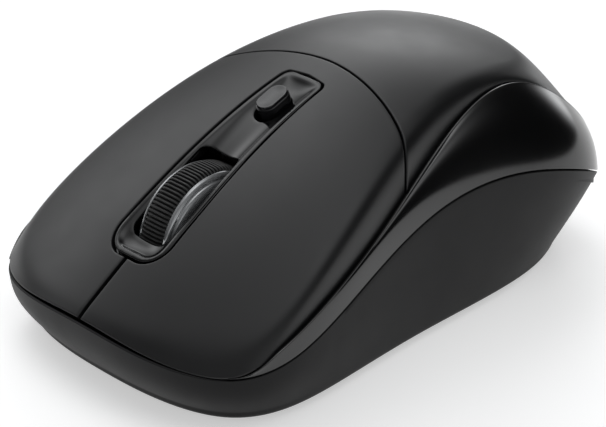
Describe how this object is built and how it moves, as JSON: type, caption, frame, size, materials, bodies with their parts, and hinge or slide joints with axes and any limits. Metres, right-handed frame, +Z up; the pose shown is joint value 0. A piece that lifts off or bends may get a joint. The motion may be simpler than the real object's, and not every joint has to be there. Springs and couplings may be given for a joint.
{
  "type": "computer mouse",
  "caption": "Low rounded wireless computer mouse with hinged keys, a ribbed scroll wheel in a gloss trough, a small button behind it and gloss side bands.",
  "frame": {"origin": "middle of the outline on the table plane, under the feet", "axes": "+Z up; the keys face -Y and the palm end faces +Y; +X is the left-hand side seen from behind the palm end, looking to -Y"},
  "size_m": [0.06, 0.1035, 0.041],
  "materials": {
    "case_plastic": "fine matte moulded grain",
    "trim_gloss": "piano gloss",
    "palm_satin": "satin",
    "key_satin": "satin",
    "frame_plastic": "plain",
    "inlay_gloss": "piano gloss",
    "button_gloss": "gloss",
    "hub_clear": "clear moulded plastic",
    "tyre_rubber": "ribbed",
    "steel": "bright",
    "cradle_plastic": "plain",
    "encoder_plastic": "plain",
    "switch_black": "plain",
    "plunger_cream": "plain",
    "plunger_red": "plain",
    "board_green": "solder resist",
    "chip_black": "plain",
    "lens_clear": "clear moulded plastic",
    "lamp_red": "tinted clear",
    "can_metal": "plain",
    "capacitor_sleeve": "sleeved",
    "knob_grey": "plain",
    "cell_wrap": "printed film",
    "contact_metal": "nickel plated",
    "foot_ptfe": "slick",
    "screw_black": "dark"
  },
  "bodies": {
    "housing": {"bottom_case": "case_plastic", "side_trim": "trim_gloss", "palm_cover": "palm_satin", "key_web": "key_satin", "top_frame": "frame_plastic", "centre_inlay": "inlay_gloss", "button_board": "board_green", "button_switch_body": "switch_black", "wheel_bracket": "cradle_plastic", "wheel_switch_body": "switch_black", "main_board": "board_green", "left_switch_body": "switch_black", "right_switch_body": "switch_black", "sensor_chip": "chip_black", "sensor_lens": "lens_clear", "sensor_lamp": "lamp_red", "radio_chip": "chip_black", "crystal_can": "can_metal", "capacitors": "capacitor_sleeve", "power_switch_body": "steel", "battery_box": "frame_plastic", "battery_cells": "cell_wrap", "spring_contacts": "contact_metal", "button_contacts": "contact_metal", "receiver_bay": "frame_plastic", "front_foot": "foot_ptfe", "rear_foot": "foot_ptfe", "case_screws": "screw_black", "board_screws": "steel"},
    "left_key_body": {"left_key": "key_satin"},
    "right_key_body": {"right_key": "key_satin"},
    "left_plunger": {"left_switch_plunger": "plunger_cream"},
    "right_plunger": {"right_switch_plunger": "plunger_cream"},
    "wheel_carrier": {"wheel_cradle": "cradle_plastic", "encoder_body": "encoder_plastic"},
    "wheel": {"wheel_hub": "hub_clear", "wheel_tyre": "tyre_rubber", "wheel_axle": "steel"},
    "wheel_plunger": {"wheel_switch_plunger": "plunger_red"},
    "small_button_body": {"small_button": "button_gloss"},
    "small_button_plunger": {"button_switch_plunger": "plunger_cream"},
    "power_knob_body": {"power_knob": "knob_grey"},
    "door": {"battery_door": "case_plastic"},
    "receiver": {"receiver_plug": "steel", "receiver_cap": "button_gloss"}
  },
  "joints": [
    {"name": "left_key_press", "type": "hinge", "parent": "housing", "child": "left_key_body", "pos_m": [0, -0.004, 0.034], "axis": [1, 0, 0], "range_deg": [0, 0.8], "stiffness_Nm_per_rad": 1.5, "springref_deg": -0.23},
    {"name": "right_key_press", "type": "hinge", "parent": "housing", "child": "right_key_body", "pos_m": [0, -0.004, 0.034], "axis": [1, 0, 0], "range_deg": [0, 0.8], "stiffness_Nm_per_rad": 1.5, "springref_deg": -0.23},
    {"name": "left_switch_press", "type": "slide", "parent": "housing", "child": "left_plunger", "axis": [0, 0, -1], "range_m": [0, 0.0005]},
    {"name": "right_switch_press", "type": "slide", "parent": "housing", "child": "right_plunger", "axis": [0, 0, -1], "range_m": [0, 0.0005]},
    {"name": "wheel_click", "type": "hinge", "parent": "housing", "child": "wheel_carrier", "pos_m": [0, -0.0135, 0.0142], "axis": [1, 0, 0], "range_deg": [0, 1.2], "stiffness_Nm_per_rad": 0.6, "springref_deg": -0.46},
    {"name": "wheel_spin", "type": "hinge", "parent": "wheel_carrier", "child": "wheel", "pos_m": [0, -0.0253, 0.019], "axis": [1, 0, 0], "continuous": true},
    {"name": "wheel_switch_press", "type": "slide", "parent": "housing", "child": "wheel_plunger", "axis": [0, 0, -1], "range_m": [0, 0.0006]},
    {"name": "small_button_press", "type": "slide", "parent": "housing", "child": "small_button_body", "axis": [0, 0.3633, -0.9317], "range_m": [0, 0.0004], "stiffness_N_per_m": 2500, "springref_m": -0.0001},
    {"name": "small_button_switch_press", "type": "slide", "parent": "housing", "child": "small_button_plunger", "axis": [0, 0.3633, -0.9317], "range_m": [0, 0.0004]},
    {"name": "power_slide", "type": "slide", "parent": "housing", "child": "power_knob_body", "axis": [0, 1, 0], "range_m": [0, 0.003]},
    {"name": "battery_door_open", "type": "hinge", "parent": "housing", "child": "door", "pos_m": [0, 0.0016, 0.0014], "axis": [-1, 0, 0], "range_deg": [0, 100]},
    {"name": "receiver_pull", "type": "slide", "parent": "housing", "child": "receiver", "axis": [0, 0, -1], "range_m": [0, 0.017]}
  ],
  "couplings": [
    {"joint": "left_switch_press", "follows": "left_key_press", "m_per_rad": 0.031},
    {"joint": "right_switch_press", "follows": "right_key_press", "m_per_rad": 0.031},
    {"joint": "wheel_switch_press", "follows": "wheel_click", "m_per_rad": 0.0256},
    {"joint": "small_button_switch_press", "follows": "small_button_press", "ratio": 1}
  ]
}
